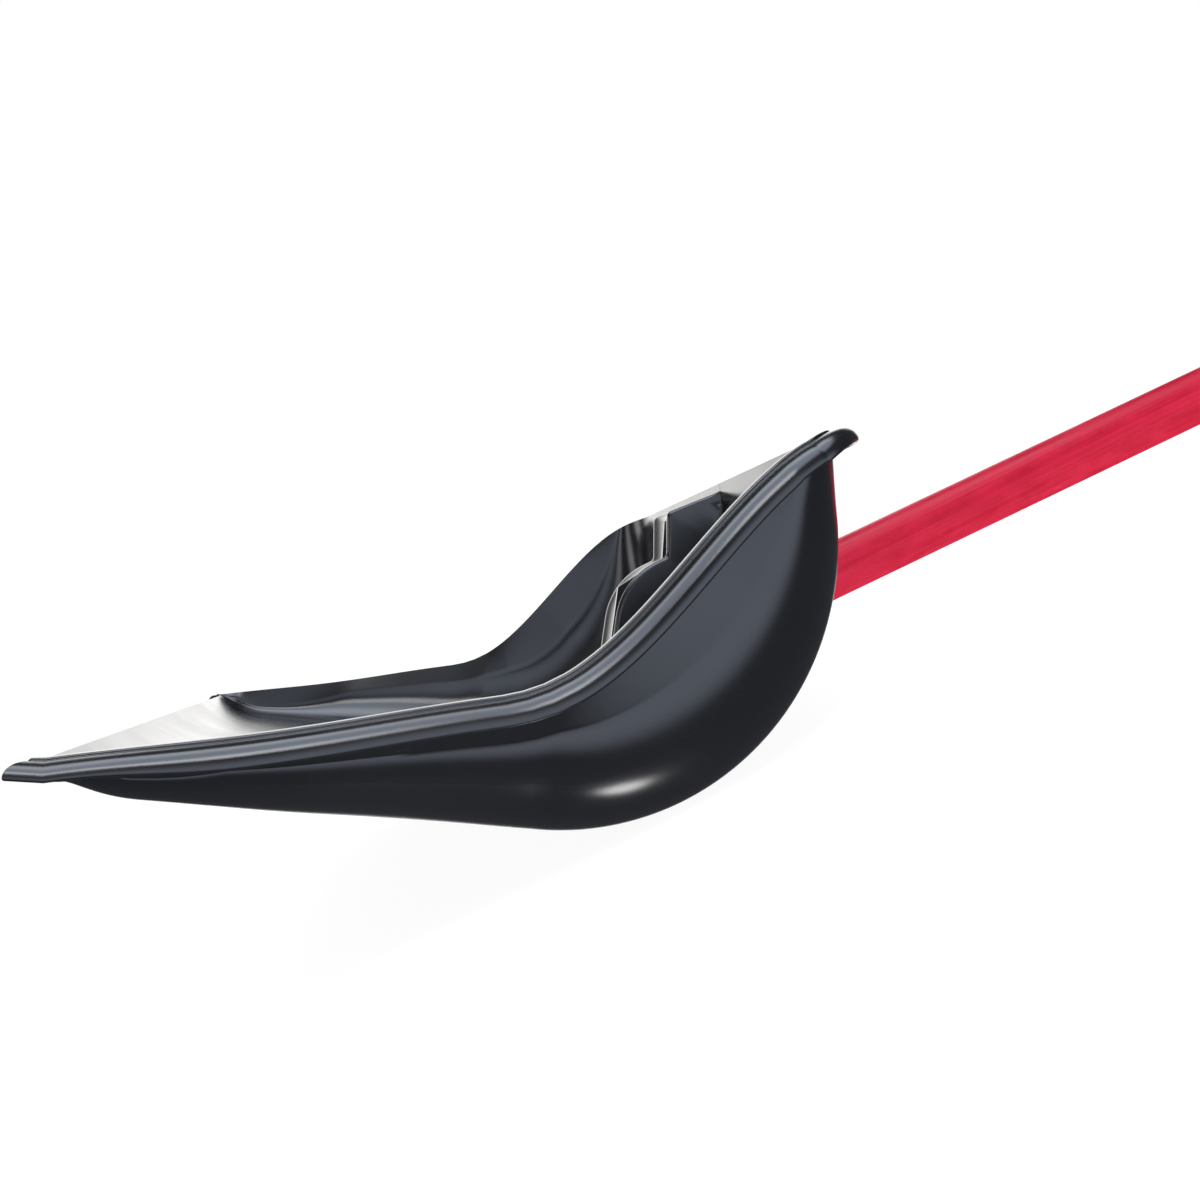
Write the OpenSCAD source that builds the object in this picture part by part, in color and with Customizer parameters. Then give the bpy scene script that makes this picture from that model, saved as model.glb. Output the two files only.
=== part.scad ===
// Snow scoop shovel: a deep moulded blade, a round fibreglass shaft and a D-grip.
// The scoop is described in its own blade frame: x runs from the front edge to the back wall,
// y across, z up from the plane that the floor's underside lies in. Everything is then turned
// about the y axis so that the shovel lies on a surface, on its heel and on the grip's shoulder.

/* [Scoop] */
// Half of the width between the two side rims at the front edge
half_w = 240; // [200:1:280]
// How much each side closes in for each millimetre towards the back
side_taper = 0.05; // [0.03:0.001:0.06]
// Thickness of the moulded wall
wall = 4; // [3:0.5:5]
// Height of the front edge above the underside of the floor
lip_z = 15; // [12:1:18]
// Length of the ramp from the front edge down to the floor
ramp = 32; // [24:1:40]
// Distance from the front edge to the start of the heel curve
heel_x = 175; // [170:1:180]
// Inner radius of the heel curve between the floor and the back wall
heel_r = 106; // [100:1:106]
// Distance from the front edge to the rim of the back wall
ridge_x = 270; // [267:0.5:275]
// Distance from the front edge to the point where the rim starts to turn across the back
corner_x = 244; // [230:1:248]

/* [Rim] */
// Rise of the side rim for each millimetre towards the back
rim_slope = 0.245; // [0.24:0.001:0.28]
// Sag of the side rim halfway along its straight stretch
rim_sag = 1.5; // [0:0.1:4]
// Extra rise of the rim where it sweeps up to the back wall
rim_rise = 87; // [82:0.5:95]
// Distance from the front edge to the start of that sweep
rise_start = 148; // [140:1:152]
// Length of that sweep
rise_len = 135.5; // [125:0.5:140]
// How much wider the rolled lip is along the back than along the sides
back_lip = 1.05; // [1:0.05:1.5]
// How much the lip across the back tilts up for each millimetre outwards
back_tilt = 0.4; // [0:0.05:0.5]

/* [Shaft] */
// Outer diameter of the fibreglass tube
shaft_d = 29.6; // [28:0.1:32]
// Wall of the fibreglass tube
shaft_wall = 3; // [2:0.5:5]
// Angle between the scoop's floor and the shaft
lift = 31.6; // [28:0.1:34]
// Point where the shaft's axis meets the back wall, from the front edge
axis_x = 282; // [280:1:284]
// Height of that point above the underside of the floor
axis_z = 93.5; // [90:0.5:97]
// Length of shaft held inside the scoop's socket, measured from the back wall
socket_in = 50; // [48:1:52]
// Length of the socket's sleeve behind the back wall
socket_out = 40; // [30:1:50]
// Distance along the shaft from the back wall to the grip's mouth
reach = 841; // [700:1:1000]

/* [Grip] */
// Depth of the grip's socket, which the shaft fills
grip_bore = 60; // [50:1:70]
// Distance from the grip's mouth to the middle of the crossbar
bar_z = 150; // [140:1:160]
// Half of the width between the middles of the grip's two arms
arm_y = 55; // [50:1:60]
// Thickness of the grip's arms
arm_d = 17; // [15:0.5:20]
// Outer diameter of the cushion on the crossbar
cushion_d = 31; // [28:0.5:34]

/* [Fasteners] */
// Diameter of the two bolts through the socket
bolt_d = 6; // [5:1:8]
// Distances of the two bolts from the back wall, along the shaft
bolt_s = [-17, -42];
// Diameter of the two screws through the grip's socket
screw_d = 4.5; // [4:0.5:5]

/* [Hidden] */
$fn = 64;

black = "#202124";
red = "#c8102e";

// ---- Housing over the shaft's end, inside the scoop ----
// Half width of the housing and of the cored pocket behind it
house_y = 21.5;
pocket_y = house_y - wall;
// Width of the strip that the housing's rows take
house_strip = 34;
// Depth of the hollow down the housing's face, and the width of the face left beside it
house_dish = 3;
dish_edge = 3.2;
function dish(y) = house_dish * max(1 - pow(y / (house_y - dish_edge), 2), 0);
// Rows across the housing: [y, set back from the housing's face, or -1 on the wall, stand off from the wall]
HOUSE_ROWS = [[0, dish(0), -1], [7, dish(7), -1], [13, dish(13), -1], [18.5, 0, -1], [20.5, 0.6, -1],
    [house_y, 2.2, -1], [23.6, -1, 3.2], [26, -1, 0.8], [29, -1, 0], [house_strip, -1, 0]];
POCKET_ROWS = [[0, dish(0), -1], [7, dish(7), -1], [11, dish(11), -1], [15, dish(15), -1], [16.8, 0.7, -1],
    [pocket_y, 2.2, -1], [18.6, -1, 2.0], [19.6, -1, 0.4], [27, -1, 0], [house_strip, -1, 0]];
// How far below the ridge the housing ends on the wall
house_drop = 4;
function end_drop(o) = house_drop + 1.9 * o;
function housing_end(o) = ridge + end_drop(o) * [sin(heel_end), -cos(heel_end)]
    + o * [cos(heel_end), sin(heel_end)];
// Front face of the housing and the corners of its side view: [x, z, radius]
house_x = 222;
function house_corners(o) = let (r = heel_r + o, x = house_x + o)
    [[x, heel_z - sqrt(r * r - pow(x - heel_x, 2)), 0], [x + 2.5, 112 - 0.5 * o, 38 - o],
     [247 + o, 126 - 0.9 * o, 3 + 0.4 * o], [244.5 + o, 149 - o, 3], [each housing_end(o), 0]];

// ---- Grid of the scoop's surface ----
// Stations along the middle of the scoop: ramp, floor, heel curve, back wall
n_ramp = 4;
n_floor = 6;
n_heel = 18;
n_back = 5;
n_all = n_ramp + n_floor + n_heel + n_back;
// Rows on the floor beyond the housing, round the bottom corner, and up the side
n_flat = 3;
n_turn = 6;
n_side = 3;
n_rows = len(HOUSE_ROWS) + n_flat + n_turn + n_side;
// Depth below the rim at which the outer wall meets the rolled lip
lip_root = 7;
// Thickness of the front edge, and the wall's thickness along the front as a share of the rest
edge = 0.8;
thin_front = 0.55;
// Section of the rolled lip: [outwards, up], from the ridge round to the wall
LIP = [[2, -0.1], [3.5, -0.5], [4, -1.6], [5.9, -2], [8.3, -3.1], [10.6, -5], [12.2, -7.5], [13, -10.1],
    [12.4, -11.3], [10.8, -11.2], [9.6, -7.4], [7.2, -6.3]];
// How far the lip's front end leans forward for each millimetre outwards
nose_lean = 0.85;
// Share of its full depth that the lip has at the front end
nose_fall = 0.72;

floor_z = wall;
heel_z = floor_z + heel_r;

function smooth(u) = let (v = min(max(u, 0), 1)) v * v * v * (v * (6 * v - 15) + 10);
function mix(a, b, k) = a + (b - a) * k;
function unit(v) = v / norm(v);
function side_y(x) = half_w - side_taper * x;
function rim_z(x) = lip_z + rim_slope * x - rim_sag * pow(sin(180 * min(max(x / rise_start, 0), 1)), 2)
    + rim_rise * smooth((x - rise_start) / rise_len);
function rim_grade(x) = rim_z(x + 0.5) - rim_z(x - 0.5);
// Rim height, lowered square to the rim by drop
function low_rim(x, drop) = rim_z(x) - drop * sqrt(1 + pow(rim_grade(x), 2));

// Angle at which the heel curve ends, and the top of the straight back wall
ridge = [ridge_x, rim_z(ridge_x)];
heel_end = atan2(ridge[1] - heel_z, ridge_x - heel_x)
    - acos(min(heel_r / norm([ridge_x - heel_x, ridge[1] - heel_z]), 1));
function back_top(drop) = ridge + drop * 1.05 * [sin(heel_end), -cos(heel_end)];

heel_len = heel_r * (heel_end + 90) * PI / 180;
back_len = norm(ridge - [heel_x + heel_r * cos(heel_end), heel_z + heel_r * sin(heel_end)]);

// Middle line of the inner surface at station j
function centre(j, drop) =
    j <= n_ramp ? [ramp * j / n_ramp,
        floor_z + (lip_z - edge - floor_z) * pow(1 - j / n_ramp, 2.2)]
    : j <= n_ramp + n_floor ? [mix(ramp, heel_x, (j - n_ramp) / n_floor), floor_z]
    : j <= n_all - n_back ?
        let (a = mix(-90, heel_end, (j - n_ramp - n_floor) / n_heel))
        [heel_x + heel_r * cos(a), heel_z + heel_r * sin(a)]
    : mix([heel_x + heel_r * cos(heel_end), heel_z + heel_r * sin(heel_end)], back_top(drop),
        (j - n_all + n_back) / n_back);
// Fraction of the way from the start of the heel curve to the back rim
function up_back(j) = j <= n_ramp + n_floor ? 0 :
    (heel_len * min(j - n_ramp - n_floor, n_heel) / n_heel
     + back_len * max(j - n_all + n_back, 0) / n_back) / (heel_len + back_len);

// One section of the inner surface, from the middle to the rim
function section(j, drop, rows) = let (
    c = centre(j, drop),
    g = up_back(j),
    xe = g == 0 ? c[0] : mix(heel_x, corner_x, g),
    e = [xe, low_rim(xe, drop)],
    d = norm(e - c),
    ry = 12 + 31 * smooth(c[0] / 150) - 3 * g,
    rz = min(7 + 41 * smooth((c[0] - 15) / 160), mix(0.75, 0.55, g) * d),
    draft = min(5, 1 + 0.05 * d),
    y_turn = side_y(xe) - draft - ry,
    top = centre(n_all, drop),
    near_top = smooth((j - n_all + n_back + 0.4 * n_heel) / (n_back + 0.4 * n_heel)))
    concat(
        [for (r = rows) [c[0], r[0], c[1]]],
        [for (k = [1 : n_flat]) [c[0], mix(house_strip, y_turn, k / n_flat), c[1]]],
        [for (k = [1 : n_turn + n_side])
            let (
                a = min(k / n_turn, 1) * 90,
                q = k <= n_turn ? rz * (1 - cos(a)) / d : mix(rz / d, 1, (k - n_turn) / n_side),
                y = k <= n_turn ? y_turn + ry * sin(a) : side_y(xe) - draft * (n_turn + n_side - k) / n_side,
                p = mix(c, e, q),
                xt = mix(top[0], corner_x, q),
                bow = low_rim(xt, drop) - mix(top[1], low_rim(corner_x, drop), q))
            [p[0], y, p[1] + near_top * bow]]);

// ---- Lines with rounded corners ----
function corner_arc(p, v, q, r) = let (
    a = unit(p - v),
    b = unit(q - v),
    half = acos(a * b) / 2,
    c = v + unit(a + b) * r / sin(half),
    s = v + a * r / tan(half),
    e = v + b * r / tan(half),
    t0 = atan2(s[1] - c[1], s[0] - c[0]),
    t1 = atan2(e[1] - c[1], e[0] - c[0]),
    turn = (t1 - t0 + 540) % 360 - 180)
    [for (k = [0 : 4]) c + r * [cos(t0 + turn * k / 4), sin(t0 + turn * k / 4)]];
function rounded(pts) = [for (k = [0 : len(pts) - 1])
    each (pts[k][2] == 0 ? [[pts[k][0], pts[k][1]]] :
        corner_arc([pts[k - 1][0], pts[k - 1][1]], [pts[k][0], pts[k][1]],
            [pts[k + 1][0], pts[k + 1][1]], pts[k][2]))];
function sums(v, k = 0, s = 0) = k > len(v) - 1 ? [s] : concat([s], sums(v, k + 1, s + v[k]));
// Point at fraction f of the length of a line
function along(line, f) = let (
    run = sums([for (k = [0 : len(line) - 2]) norm(line[k + 1] - line[k])]),
    s = min(max(f, 0), 1) * run[len(run) - 1],
    k = max([for (i = [0 : len(line) - 2]) run[i] <= s ? i : 0]))
    mix(line[k], line[k + 1], (s - run[k]) / max(run[k + 1] - run[k], 0.001));

// The housing's rows replace the wall's: o is 0 on the inner face and the wall's thickness behind it
function with_housing(grid, rows, o) = let (
    line = rounded(house_corners(o)),
    first = -acos((house_x + o - heel_x) / (heel_r + o)),
    g0 = heel_r * (first + 90) * PI / 180 / (heel_len + back_len),
    g1 = 1 - end_drop(o) / (heel_len + back_len))
    [for (j = [0 : n_all]) let (
        g = up_back(j),
        h = along(line, (g - g0) / (g1 - g0)),
        inside = g > g0 && g < g1)
        [for (i = [0 : n_rows - 1])
            !inside || i >= len(rows) ? grid[j][i] : let (
                w = grid[j][i],
                f = [h[0], rows[i][0], h[1]],
                full = max(norm([w[0] - f[0], w[2] - f[2]]), 0.001),
                k = rows[i][1] >= 0 ? min(rows[i][1] / full, 0.4) : 1 - min(rows[i][2] / full, 0.4))
                [mix(f[0], w[0], k), rows[i][0], mix(f[2], w[2], k)]]];

// ---- Outer surface: the inner one moved out by the wall's thickness ----
function face_normal(g, j, i) = unit(cross(
    i == 0 ? [0, 1, 0] : g[j][min(i + 1, n_rows - 1)] - g[j][i - 1],
    g[min(j + 1, n_all)][i] - g[max(j - 1, 0)][i]));
// The wall is thinner along the front
function wall_at(x) = wall * mix(thin_front, 1, smooth((x - 20) / 80));
function moved_out(g, rows) = [for (j = [0 : n_all]) [for (i = [0 : n_rows - 1])
    let (p = g[j][i] + wall_at(g[j][i][0]) * face_normal(g, j, i))
        i < len(rows) ? [p[0], rows[i][0], p[2]] : p]];

inner_wall = [for (j = [0 : n_all]) section(j, 0, HOUSE_ROWS)];
inner = with_housing(inner_wall, HOUSE_ROWS, 0);
outer_wall = moved_out([for (j = [0 : n_all]) section(j, lip_root, POCKET_ROWS)], POCKET_ROWS);
outer = with_housing(outer_wall, POCKET_ROWS, wall);

// ---- Rolled lip round the rim ----
// Rim from the front corner along the side, then across the back to the middle
rim = concat([for (j = [0 : n_all]) inner_wall[j][n_rows - 1]],
    [for (i = [n_rows - 2 : -1 : 0]) inner_wall[n_all][i]]);
n_rim = len(rim);
function lip_point(k, s) = let (
    p = rim[k],
    after = k == n_rim - 1 ? [rim[k - 1][0], -rim[k - 1][1], rim[k - 1][2]] : rim[k + 1],
    t = unit(after - rim[max(k - 1, 0)]),
    c = unit(cross(t, [-rim_grade(p[0]), 0, 1])),
    o = c[1] * p[1] + 0.3 * c[0] * (p[0] - 150) < 0 ? -c : c,
    n = cross(o, t),
    up = n[2] < 0 ? -n : n,
    wide = mix(1, back_lip, abs(o[0])),
    tilt = back_tilt * abs(o[0]),
    fall = mix(nose_fall, 1, smooth(p[0] / 70)),
    lean = k == 0 ? nose_lean * s[0] : 0)
    p + o * s[0] * wide + up * (s[1] * fall + s[0] * tilt) - [lean, 0, 0];
lip = [for (k = [0 : n_rim - 1]) [for (s = LIP) lip_point(k, s)]];
n_lip = len(LIP);

// ---- Shell: half of the points, then their mirror image ----
n_grid = (n_all + 1) * n_rows;
half_points = concat([for (c = inner) each c], [for (c = outer) each c], [for (c = lip) each c]);
half_count = len(half_points);
shell_points = concat(half_points, [for (p = half_points) [p[0], -p[1], p[2]]]);
// Points in the middle plane are shared by both halves
function in_at(j, i, m) = j * n_rows + i + (m && i > 0 ? half_count : 0);
function out_at(j, i, m) = n_grid + in_at(j, i, m);
function rim_in(k, m) = k <= n_all ? in_at(k, n_rows - 1, m) : in_at(n_all, n_rows - 1 - (k - n_all), m);
function rim_out(k, m) = n_grid + rim_in(k, m);
function lip_at(k, s, m) = s < 0 ? rim_in(k, m) : s >= n_lip ? rim_out(k, m)
    : 2 * n_grid + k * n_lip + s + (m && k < n_rim - 1 ? half_count : 0);
function quad(a, b, c, d, flip) = flip ? [[a, c, b], [a, d, c]] : [[a, b, c], [a, c, d]];
shell_faces = [for (m = [false, true]) each concat(
    [for (j = [0 : n_all - 1]) for (i = [0 : n_rows - 2])
        each quad(in_at(j, i, m), in_at(j, i + 1, m), in_at(j + 1, i + 1, m), in_at(j + 1, i, m), m)],
    [for (j = [0 : n_all - 1]) for (i = [0 : n_rows - 2])
        each quad(out_at(j, i, m), out_at(j, i + 1, m), out_at(j + 1, i + 1, m), out_at(j + 1, i, m), !m)],
    [for (k = [0 : n_rim - 2]) for (s = [-1 : n_lip - 1])
        each quad(lip_at(k, s, m), lip_at(k, s + 1, m), lip_at(k + 1, s + 1, m), lip_at(k + 1, s, m), m)],
    [for (i = [0 : n_rows - 2])
        each quad(in_at(0, i, m), out_at(0, i, m), out_at(0, i + 1, m), in_at(0, i + 1, m), m)],
    [for (s = [-1 : floor(n_lip / 2) - 1])
        each quad(lip_at(0, s, m), lip_at(0, n_lip - 1 - s, m), lip_at(0, n_lip - 2 - s, m),
            lip_at(0, s + 1, m), m)])];

// ---- Placing ----
// The grip rests on the shoulder of its socket
mouth_r = shaft_d / 2 + 3.6;
crotch_r = shaft_d / 2 + 4.6;
rest_s = reach + grip_bore;
// The heel's centre, seen from the point where the shaft meets the back wall
heel_s = (heel_x - axis_x) * cos(lift) + (heel_z - axis_z) * sin(lift);
heel_v = -(heel_x - axis_x) * sin(lift) + (heel_z - axis_z) * cos(lift);
// Slope of the shaft when the heel and the grip's shoulder lie on the same surface
lie = asin((heel_r + wall - crotch_r) / norm([rest_s - heel_s, heel_v])) - atan2(heel_v, rest_s - heel_s);
turn_y = lift + lie;
function laid_x(p) = p[0] * cos(turn_y) + p[2] * sin(turn_y);
function laid_z(p) = -p[0] * sin(turn_y) + p[2] * cos(turn_y);
low_x = min([for (p = half_points) laid_x(p)]);
low_z = min([for (p = half_points) laid_z(p)]);
high_x = laid_x([axis_x, 0, axis_z]) + (reach + bar_z) * cos(lie) + cushion_d / 2;
module laid() translate([-(low_x + high_x) / 2, 0, -low_z]) rotate([0, turn_y, 0]) children();
// Local z runs along the shaft's axis towards the grip, from the back wall
module on_shaft(s = 0) laid() translate([axis_x, 0, axis_z]) rotate([0, 90 - lift, 0])
    translate([0, 0, s]) children();
// Local z runs across the shovel
module crosswise() rotate([90, 0, 0]) children();

// ---- Scoop ----
sleeve_r = shaft_d / 2 + 3.4;
boss_y = 24.5;
// Stiffening web in the middle plane: inside the pocket, and the gussets behind the wall
WEB = [[224.5, 26], [226, 108], [248, 126], [247, 146], [275, 148], [283, 128], [300, 123],
    [318, 98], [284, 66], [272, 50], [250, 28]];
module web() laid() rotate([90, 0, 0]) linear_extrude(3.2, center = true) polygon(WEB);
module scoop() color(black) difference() {
    union() {
        laid() polyhedron(shell_points, shell_faces, convexity = 8);
        web();
        on_shaft(-socket_in - 3) cylinder(h = 4, r1 = sleeve_r - 4, r2 = sleeve_r);
        on_shaft(-socket_in + 1) cylinder(h = socket_in - 1 + socket_out, r = sleeve_r);
        for (s = bolt_s) on_shaft(s) crosswise() cylinder(h = 2 * boss_y, r = 8, center = true);
    }
    on_shaft(-socket_in) cylinder(h = socket_in + socket_out + 1, d = shaft_d + 0.2);
    for (s = bolt_s) on_shaft(s) crosswise() cylinder(h = 80, d = bolt_d + 0.4, center = true);
}

// ---- Shaft and the plugs in its two ends ----
shaft_len = socket_in + reach + grip_bore;
core_d = shaft_d - 2 * shaft_wall;
module shaft() color(red) difference() {
    on_shaft(-socket_in + 0.5) cylinder(h = shaft_len - 1, d = shaft_d);
    on_shaft(-socket_in - 1) cylinder(h = shaft_len + 2, d = core_d);
    for (s = bolt_s) on_shaft(s) crosswise() cylinder(h = 80, d = bolt_d + 0.2, center = true);
    on_shaft(reach + screw_s) crosswise() cylinder(h = 80, d = screw_d + 0.2, center = true);
}
module lower_core() color("burlywood") difference() {
    on_shaft(-socket_in + 0.5) cylinder(h = 130, d = core_d - 0.1);
    for (s = bolt_s) on_shaft(s) crosswise() cylinder(h = 80, d = bolt_d + 0.2, center = true);
}
module upper_core() color("burlywood") difference() {
    on_shaft(reach - 30) cylinder(h = 30 + grip_bore - 0.5, d = core_d - 0.1);
    on_shaft(reach + screw_s) crosswise() cylinder(h = 80, d = screw_d, center = true);
}

// ---- Fasteners of the socket ----
washer_t = 1.5;
nut_h = 6;
module dome(r, h) rotate_extrude() intersection() {
    translate([0, h - (r * r + h * h) / (2 * h)]) circle(r = (r * r + h * h) / (2 * h), $fn = 96);
    square([r, h]);
}
module socket_bolts() color("silver") for (s = bolt_s) on_shaft(s) crosswise() {
    translate([0, 0, -boss_y - washer_t - nut_h - 2]) cylinder(h = 2 * boss_y + 2 * washer_t + nut_h + 2, d = bolt_d);
    translate([0, 0, boss_y + washer_t]) dome(6.4, 3.6);
}
module socket_washers() color("silver") for (s = bolt_s) on_shaft(s) crosswise()
    for (z = [boss_y, -boss_y - washer_t]) translate([0, 0, z]) difference() {
        cylinder(h = washer_t, r = 7);
        translate([0, 0, -1]) cylinder(h = washer_t + 2, d = bolt_d + 0.3);
    }
module socket_nuts() color("silver") for (s = bolt_s) on_shaft(s) crosswise()
    translate([0, 0, -boss_y - washer_t - nut_h]) difference() {
        union() {
            translate([0, 0, 1.5]) cylinder(h = nut_h - 1.5, d = 11.5, $fn = 6);
            cylinder(h = 1.5, d = 9);
        }
        translate([0, 0, -1]) cylinder(h = nut_h + 2, d = bolt_d + 0.05);
    }

// ---- Grip ----
screw_s = 26;
bar_d = 21;
module arm(side) {
    hull() {
        translate([0, side * 7, grip_bore + 2]) sphere(d = arm_d + 7, $fn = 32);
        translate([0, side * (arm_y - 10), bar_z - 42]) sphere(d = arm_d, $fn = 32);
    }
    hull() {
        translate([0, side * (arm_y - 10), bar_z - 42]) sphere(d = arm_d, $fn = 32);
        translate([0, side * arm_y, bar_z - 8]) sphere(d = arm_d, $fn = 32);
    }
}
module grip_frame() color(black) difference() {
    on_shaft(reach) union() {
        cylinder(h = grip_bore, r1 = mouth_r, r2 = crotch_r);
        translate([0, 0, grip_bore]) cylinder(h = 8, r1 = crotch_r, r2 = 14);
        for (side = [-1, 1]) {
            arm(side);
            translate([0, side * arm_y, bar_z]) crosswise() cylinder(h = arm_d - 3, d = cushion_d, center = true);
        }
        translate([0, 0, bar_z]) crosswise() cylinder(h = 2 * arm_y, d = bar_d, center = true);
    }
    on_shaft(reach - 1) cylinder(h = grip_bore + 1, d = shaft_d + 0.1);
    on_shaft(reach + screw_s) crosswise() cylinder(h = 80, d = screw_d + 0.2, center = true);
}
bar_len = 2 * arm_y - arm_d + 3;
module grip_cushion() color("dimgray") on_shaft(reach + bar_z) crosswise() difference() {
    cylinder(h = bar_len - 0.2, d = cushion_d - 0.6, center = true);
    cylinder(h = bar_len + 2, d = bar_d, center = true);
}
module grip_screws() color("silver") on_shaft(reach + screw_s) for (side = [-1, 1])
    rotate([side * 90, 0, 0]) {
        translate([0, 0, 3]) cylinder(h = mouth_r - 2.6, d = screw_d - 0.1);
        translate([0, 0, mouth_r + 0.4]) dome(4.5, 2.4);
    }

scoop();
shaft();
lower_core();
upper_core();
socket_bolts();
socket_washers();
socket_nuts();
grip_frame();
grip_cushion();
grip_screws();
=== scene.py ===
import math

import bmesh
import bpy
import numpy as np
from mathutils import Matrix, Vector


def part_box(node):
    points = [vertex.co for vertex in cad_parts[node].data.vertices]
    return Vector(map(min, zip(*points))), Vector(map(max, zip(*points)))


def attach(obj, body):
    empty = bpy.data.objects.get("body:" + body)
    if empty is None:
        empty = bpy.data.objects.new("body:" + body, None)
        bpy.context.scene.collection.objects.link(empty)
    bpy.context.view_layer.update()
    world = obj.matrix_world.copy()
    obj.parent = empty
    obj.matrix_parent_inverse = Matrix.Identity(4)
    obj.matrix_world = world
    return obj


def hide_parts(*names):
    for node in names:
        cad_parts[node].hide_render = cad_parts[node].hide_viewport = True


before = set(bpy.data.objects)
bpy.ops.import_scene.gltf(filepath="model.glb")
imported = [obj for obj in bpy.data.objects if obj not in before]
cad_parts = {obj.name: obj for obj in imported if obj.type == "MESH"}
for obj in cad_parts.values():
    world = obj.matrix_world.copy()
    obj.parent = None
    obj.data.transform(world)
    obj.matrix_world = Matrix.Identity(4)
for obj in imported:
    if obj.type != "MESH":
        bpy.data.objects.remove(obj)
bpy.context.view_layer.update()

# ---- Driving dimensions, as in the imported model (mm) ----
# Scoop: plan, ramp, floor, heel and back wall
HALF_W = 240.0
SIDE_TAPER = 0.05
WALL = 4.0
FLOOR_Z = WALL
LIP_Z = 15.0
RAMP = 32.0
RAMP_POWER = 2.2
HEEL_X = 175.0
HEEL_R = 106.0
HEEL_Z = FLOOR_Z + HEEL_R
RIDGE_X = 270.0
CORNER_X = 244.0
# The wall is thinner along the front, up to THIN_START, and full after THIN_LEN more
THIN_FRONT = 0.55
THIN_START = 20.0
THIN_LEN = 80.0
# Height of the rim along x
RIM_SLOPE = 0.245
RIM_SAG = 1.5
RIM_RISE = 87.0
RISE_START = 148.0
RISE_LEN = 135.5
# Blend of the bottom corners, across (RY) and upwards (RZ): size in front, growth and where
# it grows, and what RY loses again on the way up the back
RY_FRONT = 12.0
RY_GROWTH = 31.0
RY_LEN = 150.0
RY_LOSS = 3.0
RZ_FRONT = 7.0
RZ_GROWTH = 41.0
RZ_START = 15.0
RZ_LEN = 160.0
# Rolled lip
LIP_ROOT = 7.0
EDGE = 0.8
BACK_LIP = 1.05
BACK_TILT = 0.4
NOSE_LEAN = 0.85
NOSE_FALL = 0.72
# Housing
HOUSE_X = 222.0
HOUSE_Y = 21.5
POCKET_Y = HOUSE_Y - WALL
HOUSE_STRIP = 34.0
HOUSE_DROP = 4.0
HOUSE_DISH = 3.0
DISH_EDGE = 3.2
# Shaft, the point where its axis meets the back wall, and its socket
SHAFT_D = 29.6
SHAFT_WALL = 3.0
CORE_D = SHAFT_D - 2 * SHAFT_WALL
LIFT = math.radians(31.6)
AXIS_X = 282.0
AXIS_Z = 93.5
SOCKET_IN = 50.0
SOCKET_OUT = 40.0
SLEEVE_R = SHAFT_D / 2 + 3.4
SLEEVE_CAP = 3.0
SLEEVE_CONE = 4.0
WEB_T = 3.2
REACH = 841.0
# Grip
GRIP_BORE = 60.0
MOUTH_R = SHAFT_D / 2 + 3.6
CROTCH_R = SHAFT_D / 2 + 4.6
BAR_Z = 150.0
BAR_D = 21.0
ARM_Y = 55.0
ARM_D = 17.0
CUSHION_D = 31.0
# Fasteners
BOLT_D = 6.0
BOLT_S = (-17.0, -42.0)
BOSS_R = 8.0
BOSS_Y = 24.5
WASHER_T = 1.5
NUT_H = 6.0
SCREW_D = 4.5
SCREW_S = 26.0
DRILL_REACH = 40.0

# ---- Lying pose: heel and the grip's shoulder on the surface ----
HEEL_S = (HEEL_X - AXIS_X) * math.cos(LIFT) + (HEEL_Z - AXIS_Z) * math.sin(LIFT)
HEEL_V = -(HEEL_X - AXIS_X) * math.sin(LIFT) + (HEEL_Z - AXIS_Z) * math.cos(LIFT)
REST_S = REACH + GRIP_BORE
LIE = (math.asin((HEEL_R + WALL - CROTCH_R) / math.hypot(REST_S - HEEL_S, HEEL_V))
       - math.atan2(HEEL_V, REST_S - HEEL_S))
TURN = Matrix.Rotation(LIFT + LIE, 4, "Y")
ON_AXIS = TURN @ Matrix.Translation((AXIS_X, 0, AXIS_Z)) @ Matrix.Rotation(math.pi / 2 - LIFT, 4, "Y")


def shaft_shift():
    """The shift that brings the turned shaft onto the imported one, read from its lower end."""
    low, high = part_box("shaft")
    r = SHAFT_D / 2
    end = ON_AXIS @ Vector((0, 0, -SOCKET_IN + 0.5))
    return Vector((low[0] * 1000 - end.x + r * math.sin(LIE), 0, high[2] * 1000 - end.z - r * math.cos(LIE)))


LAID = Matrix.Scale(0.001, 4) @ Matrix.Translation(shaft_shift()) @ TURN
CROSSWISE = Matrix.Rotation(math.pi / 2, 4, "X")


def on_shaft(s):
    """Local z runs along the shaft towards the grip, from the point where its axis meets the back wall."""
    return (LAID @ Matrix.Translation((AXIS_X, 0, AXIS_Z)) @ Matrix.Rotation(math.pi / 2 - LIFT, 4, "Y")
            @ Matrix.Translation((0, 0, s)))


# ---- Mesh helpers ----
def new_piece(name, verts, faces, matrix, slot):
    """A closed mesh object with outward normals, placed by matrix."""
    mesh = bpy.data.meshes.new(name)
    mesh.from_pydata([tuple(v) for v in verts], [], [tuple(int(i) for i in f) for f in faces])
    mesh.transform(matrix)
    tidy(mesh)
    piece = bpy.data.objects.new(name, mesh)
    bpy.context.scene.collection.objects.link(piece)
    if slot:
        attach(piece, "root")
    return piece


def tidy(mesh):
    """Turns the normals of a closed mesh outwards."""
    bm = bmesh.new()
    bm.from_mesh(mesh)
    bmesh.ops.recalc_face_normals(bm, faces=bm.faces)
    bm.to_mesh(mesh)
    bm.free()


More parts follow.
